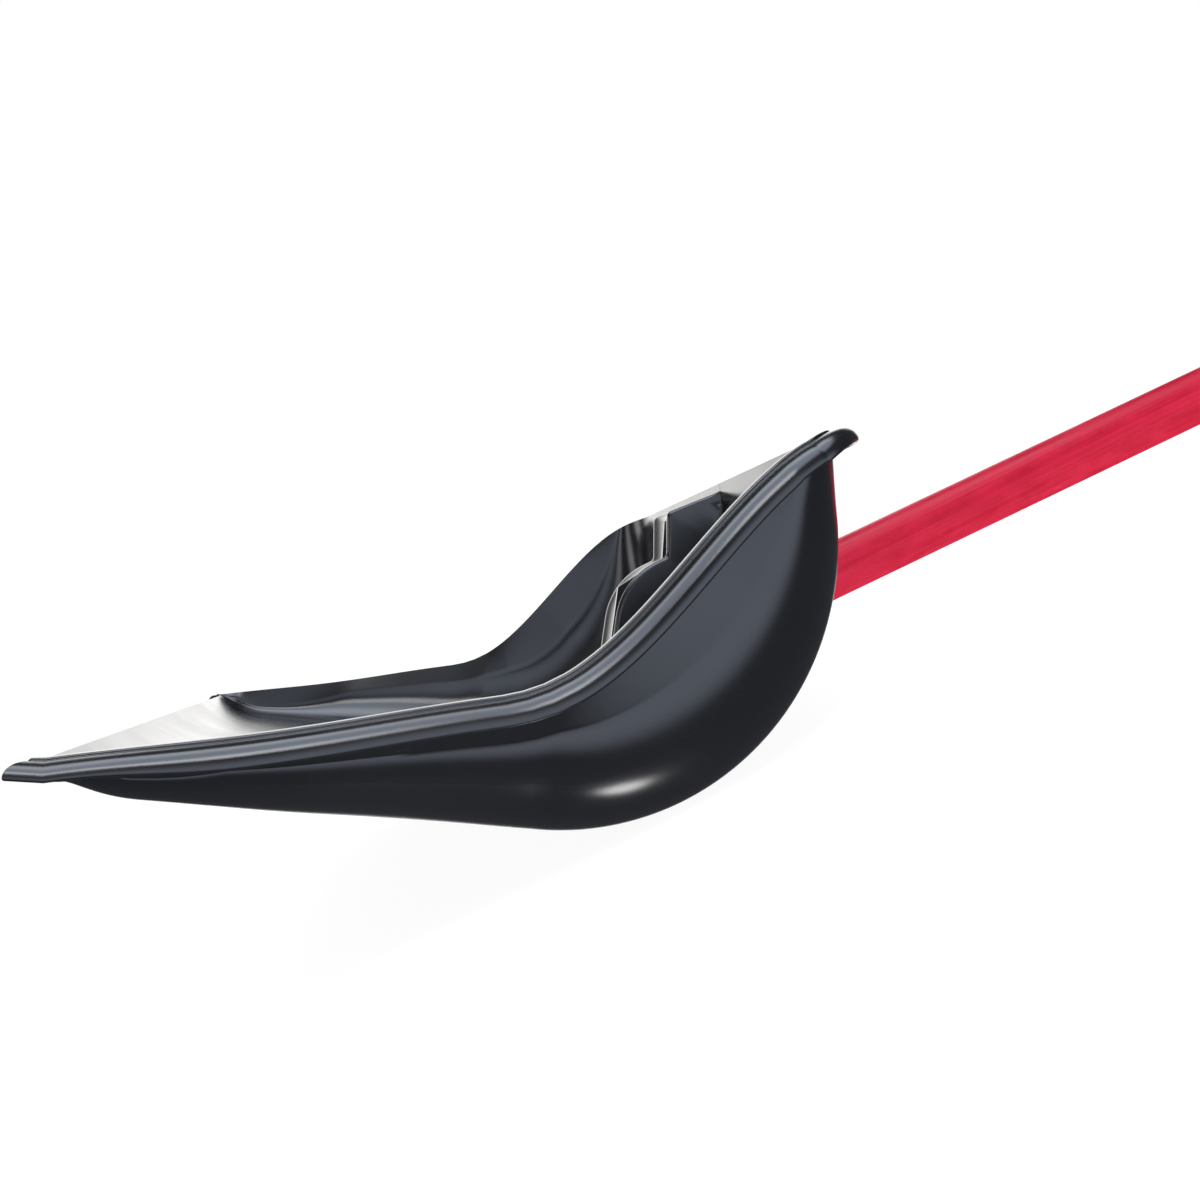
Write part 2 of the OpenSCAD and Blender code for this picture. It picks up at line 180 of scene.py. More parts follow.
def shade(piece, degrees=32):
    """Smooth shading, with an edge where the surface turns by more than the given angle."""
    bm = bmesh.new()
    bm.from_mesh(piece.data)
    for face in bm.faces:
        face.smooth = True
    limit = math.radians(degrees)
    for edge in bm.edges:
        edge.smooth = len(edge.link_faces) == 2 and edge.calc_face_angle(0) < limit
    bm.to_mesh(piece.data)
    bm.free()


def lathe(profile, steps=96):
    """A solid of revolution about z. The profile is [(r, z), ...] from the axis round to the axis,
    or a closed ring when no point lies on the axis."""
    verts, rings = [], []
    for r, z in profile:
        if r < 1e-6:
            rings.append([len(verts)])
            verts.append((0, 0, z))
        else:
            rings.append(list(range(len(verts), len(verts) + steps)))
            verts += [(r * math.cos(2 * math.pi * k / steps), r * math.sin(2 * math.pi * k / steps), z)
                      for k in range(steps)]
    pairs = list(zip(rings, rings[1:]))
    if all(len(ring) > 1 for ring in rings):
        pairs.append((rings[-1], rings[0]))
    faces = []
    for a, b in pairs:
        for k in range(steps):
            n = (k + 1) % steps
            if len(a) == 1 and len(b) == 1:
                continue
            if len(a) == 1:
                faces.append((a[0], b[k], b[n]))
            elif len(b) == 1:
                faces.append((a[k], b[0], a[n]))
            else:
                faces.append((a[k], b[k], b[n], a[n]))
    return verts, faces


def rod(r, z0, z1, chamfer=0.0, steps=96):
    """A round rod along z, chamfered at both ends."""
    c = chamfer
    return lathe([(0, z0), (r - c, z0), (r, z0 + c), (r, z1 - c), (r - c, z1), (0, z1)], steps)


def merged(parts):
    """Several (verts, faces) as one."""
    verts, faces = [], []
    for v, f in parts:
        base = len(verts)
        verts += [tuple(p) for p in v]
        faces += [tuple(i + base for i in face) for face in f]
    return verts, faces


def moved(part, matrix):
    return [tuple(matrix @ Vector(v)) for v in part[0]], part[1]


def combine(piece, tool, operation):
    """A boolean of two closed pieces; the tool is used up."""
    mod = piece.modifiers.new("combine", "BOOLEAN")
    mod.operation = operation
    mod.solver = "MANIFOLD"
    mod.object = tool
    bake(piece)
    bpy.data.objects.remove(tool)


def bake(piece):
    """Applies the piece's modifiers to its mesh."""
    dg = bpy.context.evaluated_depsgraph_get()
    mesh = bpy.data.meshes.new_from_object(piece.evaluated_get(dg))
    old = piece.data
    piece.modifiers.clear()
    piece.data = mesh
    bpy.data.meshes.remove(old)


# ---- Scoop's inner surface ----
def smooth(u):
    v = np.clip(u, 0, 1)
    return v * v * v * (v * (6 * v - 15) + 10)


def mix(a, b, k):
    return a + (b - a) * k


def side_y(x):
    return HALF_W - SIDE_TAPER * x


def rim_z(x):
    sag = RIM_SAG * np.sin(np.pi * np.clip(x / RISE_START, 0, 1)) ** 2
    return LIP_Z + RIM_SLOPE * x - sag + RIM_RISE * smooth((x - RISE_START) / RISE_LEN)


def rim_grade(x):
    return rim_z(x + 0.5) - rim_z(x - 0.5)


def low_rim(x, drop):
    return rim_z(x) - drop * np.sqrt(1 + rim_grade(x) ** 2)


RIDGE = np.array([RIDGE_X, float(rim_z(RIDGE_X))])
_to_ridge = RIDGE - (HEEL_X, HEEL_Z)
HEEL_END = (math.atan2(_to_ridge[1], _to_ridge[0])
            - math.acos(min(HEEL_R / math.hypot(*_to_ridge), 1)))
HEEL_TOP = np.array([HEEL_X + HEEL_R * math.cos(HEEL_END), HEEL_Z + HEEL_R * math.sin(HEEL_END)])
HEEL_LEN = HEEL_R * (HEEL_END + math.pi / 2)
BACK_LEN = float(np.linalg.norm(RIDGE - HEEL_TOP))

N_RAMP, N_FLOOR, N_HEEL, N_BACK = 16, 20, 110, 8
N_ALL = N_RAMP + N_FLOOR + N_HEEL + N_BACK
N_FLAT, N_TURN, N_SIDE = 14, 28, 10


def back_top(drop):
    return RIDGE + drop * 1.05 * np.array([math.sin(HEEL_END), -math.cos(HEEL_END)])


def centre(j, drop):
    """The middle line of the inner surface at station j."""
    if j <= N_RAMP:
        u = 1 - j / N_RAMP
        return np.array([RAMP * (1 - u), FLOOR_Z + (LIP_Z - EDGE - FLOOR_Z) * u ** RAMP_POWER])
    if j <= N_RAMP + N_FLOOR:
        return np.array([mix(RAMP, HEEL_X, (j - N_RAMP) / N_FLOOR), FLOOR_Z])
    if j <= N_ALL - N_BACK:
        a = mix(-math.pi / 2, HEEL_END, (j - N_RAMP - N_FLOOR) / N_HEEL)
        return np.array([HEEL_X + HEEL_R * math.cos(a), HEEL_Z + HEEL_R * math.sin(a)])
    return mix(HEEL_TOP, back_top(drop), (j - N_ALL + N_BACK) / N_BACK)


def up_back(j):
    """Fraction of the way from the start of the heel curve to the back rim."""
    if j <= N_RAMP + N_FLOOR:
        return 0.0
    heel = HEEL_LEN * min(j - N_RAMP - N_FLOOR, N_HEEL) / N_HEEL
    back = BACK_LEN * max(j - N_ALL + N_BACK, 0) / N_BACK
    return (heel + back) / (HEEL_LEN + BACK_LEN)


def section(j, drop, strip):
    """Points of one section from the middle to the rim; strip holds the rows across the housing."""
    c = centre(j, drop)
    g = up_back(j)
    xe = c[0] if g == 0 else mix(HEEL_X, CORNER_X, g)
    e = np.array([xe, float(low_rim(xe, drop))])
    d = float(np.linalg.norm(e - c))
    ry = RY_FRONT + RY_GROWTH * float(smooth(c[0] / RY_LEN)) - RY_LOSS * g
    rz = min(RZ_FRONT + RZ_GROWTH * float(smooth((c[0] - RZ_START) / RZ_LEN)), mix(0.75, 0.55, g) * d)
    draft = min(5, 1 + 0.05 * d)
    y_turn = side_y(xe) - draft - ry
    top = centre(N_ALL, drop)
    near_top = float(smooth((j - N_ALL + N_BACK + 0.4 * N_HEEL) / (N_BACK + 0.4 * N_HEEL)))
    out = [(c[0], y, c[1]) for y in strip]
    out += [(c[0], mix(HOUSE_STRIP, y_turn, k / N_FLAT), c[1]) for k in range(1, N_FLAT + 1)]
    for k in range(1, N_TURN + N_SIDE + 1):
        a = min(k / N_TURN, 1) * math.pi / 2
        if k <= N_TURN:
            q = rz * (1 - math.cos(a)) / d
            y = y_turn + ry * math.sin(a)
        else:
            q = mix(rz / d, 1, (k - N_TURN) / N_SIDE)
            y = side_y(xe) - draft * (N_TURN + N_SIDE - k) / N_SIDE
        p = mix(c, e, q)
        xt = mix(top[0], CORNER_X, q)
        bow = low_rim(xt, drop) - mix(top[1], float(low_rim(CORNER_X, drop)), q)
        out.append((p[0], y, p[1] + near_top * float(bow)))
    return out


# ---- Housing over the shaft's end, and the pocket behind it ----
# The rounding at its face and at its foot fades where the gap between face and wall is smaller than
# this (mm), and never takes up more than MAX_PULL of the gap
FACE_FADE = 10.0
FOOT_FADE = 28.0
MAX_PULL = 0.45


def dish(y):
    """Depth of the hollow down the housing's face."""
    return HOUSE_DISH * max(1 - (y / (HOUSE_Y - DISH_EDGE)) ** 2, 0)


def strip_rows(half, face_r, foot_y, foot_r):
    """Rows across the housing: (y, set back from its face or None, stand off from the wall)."""
    steps = 7
    rows = [(y, dish(y), None) for y in np.linspace(0, half - face_r, 16)]
    for k in range(1, steps + 1):
        a = math.pi / 2 * k / steps
        y = half - face_r * (1 - math.sin(a))
        rows.append((y, dish(y) + face_r * (1 - math.cos(a)), None))
    for k in range(steps + 1):
        a = math.pi / 2 * k / steps
        rows.append((foot_y + foot_r * (1 - math.cos(a)), None, foot_r * (1 - math.sin(a))))
    last = rows[-1][0]
    rows += [(y, None, 0.0) for y in np.linspace(last, HOUSE_STRIP, 4)[1:]]
    return rows


HOUSE_ROWS = strip_rows(HOUSE_Y, 2.4, HOUSE_Y + 0.5, 9)
POCKET_ROWS = strip_rows(POCKET_Y, 2.2, POCKET_Y + 0.4, 2.4)


def rounded(points):
    """A line whose corners (x, z, radius) are rounded by arcs."""
    out, steps = [], 12
    for k, (x, z, r) in enumerate(points):
        v = np.array([x, z])
        if r == 0:
            out.append(v)
            continue
        a = np.array(points[k - 1][:2]) - v
        b = np.array(points[k + 1][:2]) - v
        a, b = a / np.linalg.norm(a), b / np.linalg.norm(b)
        half = math.acos(float(a @ b)) / 2
        mid = (a + b) / np.linalg.norm(a + b)
        c = v + mid * r / math.sin(half)
        s, e = v + a * r / math.tan(half), v + b * r / math.tan(half)
        t0, t1 = math.atan2(*(s - c)[::-1]), math.atan2(*(e - c)[::-1])
        turn = (t1 - t0 + 3 * math.pi) % (2 * math.pi) - math.pi
        out += [c + r * np.array([math.cos(t0 + turn * i / steps), math.sin(t0 + turn * i / steps)])
                for i in range(steps + 1)]
    return np.array(out)


def end_drop(o):
    """How far below the ridge the housing ends, along the back wall."""
    return HOUSE_DROP + 1.9 * o


def housing_end(o):
    """The housing's upper end, moved back by o."""
    down = np.array([math.sin(HEEL_END), -math.cos(HEEL_END)])
    return RIDGE + end_drop(o) * down + o * np.array([math.cos(HEEL_END), math.sin(HEEL_END)])


def housing_line(o):
    """Side view of the housing's face, moved back by o."""
    r = HEEL_R + o
    x = HOUSE_X + o
    return rounded([
        (x, HEEL_Z - math.sqrt(r * r - (x - HEEL_X) ** 2), 0), (x + 2.5, 112 - 0.5 * o, 38 - o),
        (247 + o, 126 - 0.9 * o, 3 + 0.4 * o), (244.5 + o, 149 - o, 3), (*housing_end(o), 0)])


def along(line, f):
    """The point at fraction f of a line's length."""
    run = np.concatenate([[0], np.cumsum(np.linalg.norm(np.diff(line, axis=0), axis=1))])
    s = min(max(f, 0), 1) * run[-1]
    return np.array([np.interp(s, run, line[:, 0]), np.interp(s, run, line[:, 1])])


def with_housing(grid, rows, o):
    """The housing's rows take the wall's place; o is 0 on the inner face and the wall's thickness behind."""
    line = housing_line(o)
    total = HEEL_LEN + BACK_LEN
    g0 = HEEL_R * (-math.acos((HOUSE_X + o - HEEL_X) / (HEEL_R + o)) + math.pi / 2) / total
    g1 = 1 - end_drop(o) / total
    for j in range(N_ALL + 1):
        g = up_back(j)
        if not g0 < g < g1:
            continue
        h = along(line, (g - g0) / (g1 - g0))
        for i, (y, back, off) in enumerate(rows):
            w = grid[j, i, [0, 2]]
            full = max(float(np.linalg.norm(w - h)), 0.001)
            if back is not None:
                k = min(back * min(full / FACE_FADE, 1) / full, MAX_PULL)
            else:
                k = 1 - min(off * min(full / FOOT_FADE, 1) ** 2 / full, MAX_PULL)
            p = mix(h, w, k)
            grid[j, i] = (p[0], y, p[1])
    return grid


def moved_out(grid, rows):
    """The grid moved out by the wall's thickness, with the housing's rows kept on their own y."""
    across = np.empty_like(grid)
    across[:, 1:-1] = grid[:, 2:] - grid[:, :-2]
    across[:, 0] = (0, 1, 0)
    across[:, -1] = grid[:, -1] - grid[:, -2]
    forth = np.empty_like(grid)
    forth[1:-1] = grid[2:] - grid[:-2]
    forth[0] = grid[1] - grid[0]
    forth[-1] = grid[-1] - grid[-2]
    n = np.cross(across, forth)
    thick = WALL * mix(THIN_FRONT, 1, smooth((grid[:, :, :1] - THIN_START) / THIN_LEN))
    out = grid + thick * n / np.linalg.norm(n, axis=2, keepdims=True)
    for i, (y, _back, _off) in enumerate(rows):
        out[:, i, 1] = y
    return out


# ---- Rolled lip ----
LIP = [(0.0, 0.0), (0.8, 0.0), (2.0, -0.15), (3.2, -0.4), (3.65, -0.9), (3.8, -1.6), (4.15, -1.8),
       (5.3, -1.9), (7.3, -2.6), (9.1, -3.6), (10.6, -5.0), (11.8, -6.7), (12.5, -8.4), (12.85, -10.1),
       (12.5, -11.2), (11.3, -11.2), (10.5, -9.6), (9.6, -7.4), (7.8, -6.4), (6.2, -6.6)]


def spline(points, steps):
    """A smooth line through the points, without its first and last one."""
    p = np.array([points[0]] + list(points) + [points[-1]], float)
    out = []
    for a, b, c, d in zip(p, p[1:], p[2:], p[3:]):
        for k in range(steps):
            t = k / steps
            out.append(0.5 * (2 * b + (c - a) * t + (2 * a - 5 * b + 4 * c - d) * t ** 2
                              + (3 * b - a - 3 * c + d) * t ** 3))
    return np.array(out[1:])


def lip_grid(inner):
    """The lip's section, carried along the side rim and half of the back rim."""
    rim = np.concatenate([inner[:, -1], inner[-1, -2::-1]])
    n = len(rim)
    after = np.roll(rim, -1, axis=0)
    after[-1] = rim[-2] * (1, -1, 1)
    before = np.roll(rim, 1, axis=0)
    before[0] = rim[0]
    t = after - before
    t /= np.linalg.norm(t, axis=1, keepdims=True)
    up = np.stack([-rim_grade(rim[:, 0]), np.zeros(n), np.ones(n)], 1)
    o = np.cross(t, up)
    o /= np.linalg.norm(o, axis=1, keepdims=True)
    o *= np.where(o[:, 1] * rim[:, 1] + 0.3 * o[:, 0] * (rim[:, 0] - 150) < 0, -1, 1)[:, None]
    up = np.cross(o, t)
    up *= np.where(up[:, 2] < 0, -1, 1)[:, None]
    wide = mix(1, BACK_LIP, np.abs(o[:, 0]))
    fall = mix(NOSE_FALL, 1, smooth(rim[:, 0] / 70))
    s = spline(LIP, 3)
    tilt = BACK_TILT * np.abs(o[:, 0])
    grid = (rim[:, None] + o[:, None] * s[None, :, :1] * wide[:, None, None]
            + up[:, None] * (s[None, :, 1:] * fall[:, None, None] + s[None, :, :1] * tilt[:, None, None]))
    grid[0, :, 0] -= NOSE_LEAN * s[:, 0]
    return grid


def shell():
    """The closed skin of the scoop: inner face, outer face and the rolled lip round the rim."""
    in_y = [r[0] for r in HOUSE_ROWS]
    out_y = [r[0] for r in POCKET_ROWS]
    inner = np.array([section(j, 0, in_y) for j in range(N_ALL + 1)])
    lip = lip_grid(inner)
    inner = with_housing(inner, HOUSE_ROWS, 0)
    outer = moved_out(np.array([section(j, LIP_ROOT, out_y) for j in range(N_ALL + 1)]), POCKET_ROWS)
    outer = with_housing(outer, POCKET_ROWS, WALL)
    rows = inner.shape[1]
    half = np.concatenate([inner.reshape(-1, 3), outer.reshape(-1, 3), lip.reshape(-1, 3)])
    verts = np.concatenate([half, half * (1, -1, 1)])
    grid_n, count = (N_ALL + 1) * rows, len(half)
    n_lip, n_rim = lip.shape[1], lip.shape[0]

    def inside(j, i, m):
        return j * rows + i + (count if m and i > 0 else 0)

    def outside(j, i, m):
        return grid_n + inside(j, i, m)

    def rim_in(k, m):
        return inside(k, rows - 1, m) if k <= N_ALL else inside(N_ALL, rows - 1 - (k - N_ALL), m)

    def lip_at(k, s, m):
        if s < 0:
            return rim_in(k, m)
        if s >= n_lip:
            return grid_n + rim_in(k, m)
        return 2 * grid_n + k * n_lip + s + (count if m and k < n_rim - 1 else 0)

    faces = []
    for m in (False, True):
        for j in range(N_ALL):
            for i in range(rows - 1):
                for at in (inside, outside):
                    faces.append((at(j, i, m), at(j, i + 1, m), at(j + 1, i + 1, m), at(j + 1, i, m)))
        for k in range(n_rim - 1):
            for s in range(-1, n_lip):
                faces.append((lip_at(k, s, m), lip_at(k, s + 1, m), lip_at(k + 1, s + 1, m),
                              lip_at(k + 1, s, m)))
        for i in range(rows - 1):
            faces.append((inside(0, i, m), outside(0, i, m), outside(0, i + 1, m), inside(0, i + 1, m)))
        for s in range(-1, n_lip // 2 - 1):
            faces.append((lip_at(0, s, m), lip_at(0, n_lip - 1 - s, m), lip_at(0, n_lip - 2 - s, m),
                          lip_at(0, s + 1, m)))
        last = n_lip // 2 - 1
        if n_lip - 1 - last - last > 1:
            faces.append((lip_at(0, last, m), lip_at(0, last + 2, m), lip_at(0, last + 1, m)))
    return verts, faces


WEB = [(224.5, 26), (226, 108), (248, 126), (247, 146), (275, 148), (283, 128), (300, 123), (318, 98),
       (284, 66), (272, 50), (250, 28)]


def plate(outline, thickness):
    """A flat plate in the xz plane."""
    n = len(outline)
    verts = [(x, s * thickness / 2, z) for s in (-1, 1) for x, z in outline]
    faces = [tuple(range(n)), tuple(range(2 * n - 1, n - 1, -1))]
    faces += [(k, (k + 1) % n, n + (k + 1) % n, n + k) for k in range(n)]
    return verts, faces


def drill(piece, s, r):
    """A hole of radius r right across the shaft's axis, at s along it."""
    hole = rod(r, -DRILL_REACH, DRILL_REACH, 0, 32)
    combine(piece, new_piece("hole", *hole, on_shaft(s) @ CROSSWISE, None), "DIFFERENCE")


def make_scoop():
    piece = new_piece("scoop_shell", *shell(), LAID, "scoop_polymer")
    combine(piece, new_piece("web", *plate(WEB, WEB_T), LAID, None), "UNION")
    r, low = SLEEVE_R, -SOCKET_IN - SLEEVE_CAP
    sleeve = lathe([(0, low), (r - SLEEVE_CONE, low), (r, low + SLEEVE_CONE), (r, SOCKET_OUT - 1.5),
                    (r - 0.5, SOCKET_OUT - 0.4), (r - 1.5, SOCKET_OUT), (0, SOCKET_OUT)])
    combine(piece, new_piece("sleeve", *sleeve, on_shaft(0), None), "UNION")
    for s in BOLT_S:
        boss = rod(BOSS_R, -BOSS_Y, BOSS_Y, 0.8, 48)
        combine(piece, new_piece("boss", *boss, on_shaft(s) @ CROSSWISE, None), "UNION")
    bore = rod(SHAFT_D / 2 + 0.1, -SOCKET_IN, SOCKET_OUT + 5)
    combine(piece, new_piece("bore", *bore, on_shaft(0), None), "DIFFERENCE")
    for s in BOLT_S:
        drill(piece, s, BOLT_D / 2 + 0.2)
    shade(piece, 30)
    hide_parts("scoop")
    return piece


def make_shaft():
    r, q = SHAFT_D / 2, CORE_D / 2
    z0, z1 = -SOCKET_IN + 0.5, REACH + GRIP_BORE - 0.5
    rings = 60
    out = [(r, mix(z0 + 0.6, z1 - 0.6, k / rings)) for k in range(rings + 1)]
    tube = lathe([(q, z1), (q, z0), (r - 0.6, z0)] + out + [(r - 0.6, z1)], 128)
    piece = new_piece("shaft_tube", *tube, on_shaft(0), "red_fibreglass")
    for s, d in [(s, BOLT_D) for s in BOLT_S] + [(REACH + SCREW_S, SCREW_D)]:
        drill(piece, s, d / 2 + 0.1)
    shade(piece, 30)
    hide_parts("shaft")
    return piece


# ---- Fasteners ----
# Half the width over the nut's flats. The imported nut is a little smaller, with this to its corners
NUT_FLAT = 5.75


def dome(r, h, z, steps=12):
    """The profile of a domed head that sits on z, from its rim to its top."""
    big = (r * r + h * h) / (2 * h)
    a = math.asin(r / big)
    return [(big * math.sin(a * (1 - k / steps)), z + h - big + big * math.cos(a * (1 - k / steps)))
            for k in range(steps + 1)]


def thread(r, z0, z1, pitch=1.0):
    """The profile of a threaded stretch, as fine rings."""
    out = []
    z = z0
    while z < z1 - pitch:
        out += [(r - 0.35, z), (r, z + pitch * 0.4), (r, z + pitch * 0.6)]
        z += pitch
    return out


def hex_nut():
    """A lock nut: a chamfered hexagon with a round collar below it, on z = 0 upwards."""
    here = Matrix.Identity(4)
    blank = lathe([(0, 1.3), (5.0, 1.3), (6.64, 2.2), (6.64, NUT_H - 0.9), (5.4, NUT_H), (0, NUT_H)], 96)
    nut = new_piece("nut", *blank, here, None)
    corner = NUT_FLAT / math.cos(math.pi / 6)
    hexagon = [(corner * math.cos(math.pi / 3 * k), corner * math.sin(math.pi / 3 * k)) for k in range(6)]
    verts = [(x, y, z) for z in (-1, NUT_H + 1) for x, y in hexagon]
    faces = [tuple(range(6)), tuple(range(11, 5, -1))]
    faces += [(k, (k + 1) % 6, 6 + (k + 1) % 6, 6 + k) for k in range(6)]
    combine(nut, new_piece("hexagon", verts, faces, here, None), "INTERSECT")
    collar = lathe([(0, 0.0), (3.6, 0.0), (4.3, 0.5), (4.5, 1.6), (0, 1.6)], 64)
    combine(nut, new_piece("collar", *collar, here, None), "UNION")
    hole = rod(BOLT_D / 2 + 0.02, -1, NUT_H + 1, 0, 48)
    combine(nut, new_piece("hole", *hole, here, None), "DIFFERENCE")
    part = [tuple(v.co) for v in nut.data.vertices], [tuple(p.vertices) for p in nut.data.polygons]
    bpy.data.objects.remove(nut)
    return part


def make_fasteners():
    bolts, washers, nuts = [], [], []
    nut = hex_nut()
    for s in BOLT_S:
        m = Matrix.Translation((0, 0, s)) @ CROSSWISE
        head = BOSS_Y + WASHER_T
        tip = -head - NUT_H - 2
        profile = [(0, tip), (BOLT_D / 2 - 0.8, tip)]
        profile += thread(BOLT_D / 2, tip + 0.6, -BOSS_Y + 4)
        profile += [(BOLT_D / 2, -BOSS_Y + 5), (BOLT_D / 2, head), (6.0, head), (6.4, head + 0.3)]
        profile += dome(6.4, 3.3, head + 0.3)[1:-1] + [(0, head + 3.6)]
        bolts.append(moved(lathe(profile, 64), m))
        for z in (BOSS_Y, -BOSS_Y - WASHER_T):
            q, r, c = BOLT_D / 2 + 0.15, 7.0, 0.25
            ring = lathe([(q, z), (r - c, z), (r, z + c), (r, z + WASHER_T - c), (r - c, z + WASHER_T),
                          (q + c, z + WASHER_T), (q, z + WASHER_T - c)], 64)
            washers.append(moved(ring, m))
        nuts.append(moved(nut, m @ Matrix.Translation((0, 0, -BOSS_Y - WASHER_T - NUT_H))))
    for name, parts, node in (("bolts", bolts, "socket_bolts"), ("washers", washers, "socket_washers"),
                              ("nuts", nuts, "socket_nuts")):
        piece = new_piece(name, *merged(parts), on_shaft(0), "zinc_steel")
        shade(piece, 28)
        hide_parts(node)
        yield piece
    screws = []
    for side in (-1, 1):
        m = Matrix.Rotation(side * math.pi / 2, 4, "X")
        z = MOUTH_R + 0.4
        q = (SCREW_D - 0.1) / 2
        profile = [(0, 3.0), (0.4, 3.0), (q - 0.6, 4.5)] + thread(q, 5, z - 1.6, 1.4)
        profile += [(q, z), (4.2, z), (4.5, z + 0.3)]
        profile += dome(4.5, 2.1, z + 0.3)[1:9] + [(1.5, z + 2.1), (1.4, z + 1.0), (0, z + 1.0)]
        screws.append(moved(lathe(profile, 64), m))
    piece = new_piece("grip_screw_pair", *merged(screws), on_shaft(REACH + SCREW_S), "zinc_steel")
    shade(piece, 28)
    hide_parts("grip_screws")
    yield piece


# ---- Grip ----
# Size of the voxels that blend its parts together, in metres
VOXEL = 0.0009


def sweep(path, steps=40):
    """A solid with round-cornered oval sections along a path of (x, y, z, half width, half height)."""
    p = np.array(path, float)
    verts, n = [], len(p)
    tangent = np.gradient(p[:, :3], axis=0)
    tangent /= np.linalg.norm(tangent, axis=1, keepdims=True)
    side = np.array([1.0, 0, 0])
    for q, t in zip(p, tangent):
        across = np.cross(t, side)
        across /= np.linalg.norm(across)
        for k in range(steps):
            a = 2 * math.pi * k / steps
            c, s = math.cos(a), math.sin(a)
            e = 2 / 2.8
            verts.append(q[:3] + side * q[4] * math.copysign(abs(c) ** e, c)
                         + across * q[3] * math.copysign(abs(s) ** e, s))
    faces = [tuple(range(steps)), tuple(range(n * steps - 1, (n - 1) * steps - 1, -1))]
    for j in range(n - 1):
        for k in range(steps):
            a, b = j * steps + k, j * steps + (k + 1) % steps
            faces.append((a, b, b + steps, a + steps))
    return verts, faces


def make_grip():
    body = lathe([(0, 0), (MOUTH_R - 1.5, 0), (MOUTH_R - 0.4, 0.5), (MOUTH_R, 1.6), (MOUTH_R, 6.5),
                  (MOUTH_R - 0.9, 8.5), (MOUTH_R - 0.6, 12), (CROTCH_R - 1.0, GRIP_BORE - 6),
                  (CROTCH_R - 0.2, GRIP_BORE - 1), (CROTCH_R - 0.6, GRIP_BORE + 3), (14, GRIP_BORE + 8),
                  (0, GRIP_BORE + 9)], 96)
    piece = new_piece("grip_body", *body, on_shaft(REACH), "grip_polymer")
    for side in (-1, 1):
        path = spline([(0, side * y, z, w, h) for y, z, w, h in (
            (5, GRIP_BORE - 8, 9, 12), (12, GRIP_BORE + 4, 9.5, 11.5), (27, GRIP_BORE + 20, 8.2, 10.5),
            (41, GRIP_BORE + 37, 7.2, 9.8), (50, GRIP_BORE + 55, 7, 9.6), (54.5, BAR_Z - 20, 7, 10.4),
            (ARM_Y, BAR_Z - 8, 6.9, 11.5), (ARM_Y, BAR_Z + 2, 6.6, 11.5))], 6)
        combine(piece, new_piece("arm", *sweep(path), on_shaft(REACH), None), "UNION")
        r, w = CUSHION_D / 2 - 0.1, (ARM_D - 3) / 2
        knob = lathe([(0, -w), (r - 3, -w), (r - 0.9, -w + 0.8), (r, -w + 2.6), (r, w - 2.6),
                      (r - 0.9, w - 0.8), (r - 3, w), (0, w)], 96)
        place = on_shaft(REACH) @ Matrix.Translation((0, side * ARM_Y, BAR_Z)) @ CROSSWISE
        combine(piece, new_piece("knob", *knob, place, None), "UNION")
    bar = rod(BAR_D / 2, -ARM_Y, ARM_Y)
    combine(piece, new_piece("bar", *bar, on_shaft(REACH + BAR_Z) @ CROSSWISE, None), "UNION")
    remesh = piece.modifiers.new("remesh", "REMESH")
    remesh.mode = "VOXEL"
    remesh.voxel_size = VOXEL
    blend = piece.modifiers.new("blend", "SMOOTH")
    blend.factor = 0.5
    blend.iterations = 8
    bake(piece)
    tidy(piece.data)
    hole = lathe([(0, -2), (SHAFT_D / 2 + 0.6, -2), (SHAFT_D / 2 + 0.6, 0.3), (SHAFT_D / 2 + 0.05, 1.0),
                  (SHAFT_D / 2 + 0.05, GRIP_BORE), (0, GRIP_BORE)], 96)
    combine(piece, new_piece("hole", *hole, on_shaft(REACH), None), "DIFFERENCE")
    drill(piece, REACH + SCREW_S, SCREW_D / 2 + 0.1)
    shade(piece, 40)
    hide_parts("grip_frame")
    return piece


def make_cushion():
    length = 2 * ARM_Y - ARM_D + 3 - 0.2
    r, q, half = CUSHION_D / 2 - 0.3, BAR_D / 2, length / 2
    outer = [(r - 1.6, -half), (r - 0.5, -half + 0.5), (r - 0.1, -half + 1.6)]
    rib, start = 3.2, -half + 8
    count = int((length - 16) / rib)
    for k in range(count):
        z = start + k * rib
        swell = 0.25 * math.cos(math.pi * (k + 0.5) / count - math.pi / 2)
        top = r - 0.35 + swell
        outer += [(top, z), (top, z + 1.9), (top - 0.55, z + 2.25), (top - 0.55, z + 2.75)]
    outer += [(r - 0.1, half - 1.6), (r - 0.5, half - 0.5), (r - 1.6, half)]
    piece = new_piece("cushion_sleeve", *lathe(outer + [(q, half), (q, -half)], 128),
                      on_shaft(REACH + BAR_Z) @ CROSSWISE, "grip_rubber")
    shade(piece, 28)
    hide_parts("grip_cushion")
    return piece


# ---- Materials ----
def material(name, base, rough, **shader):
    mat = bpy.data.materials.new(name)
    mat.use_nodes = True
    tree = mat.node_tree
    bsdf = tree.nodes["Principled BSDF"]
    bsdf.inputs["Base Color"].default_value = (*base, 1)
    bsdf.inputs["Roughness"].default_value = rough
    for key, value in shader.items():
        bsdf.inputs[key.replace("_", " ")].default_value = value
    return mat, tree, bsdf


def add(tree, kind, inputs=(), **settings):
    node = tree.nodes.new(kind)
    for key, value in settings.items():
        setattr(node, key, value)
    for key, value in dict(inputs).items():
        if isinstance(value, bpy.types.NodeSocket):
            tree.links.new(value, node.inputs[key])
        else:
            node.inputs[key].default_value = value
    return node


def noise(tree, vector, scale, detail=3.0, rough=0.5):
    return add(tree, "ShaderNodeTexNoise", {"Vector": vector, "Scale": scale, "Detail": detail,
                                            "Roughness": rough}).outputs["Fac"]


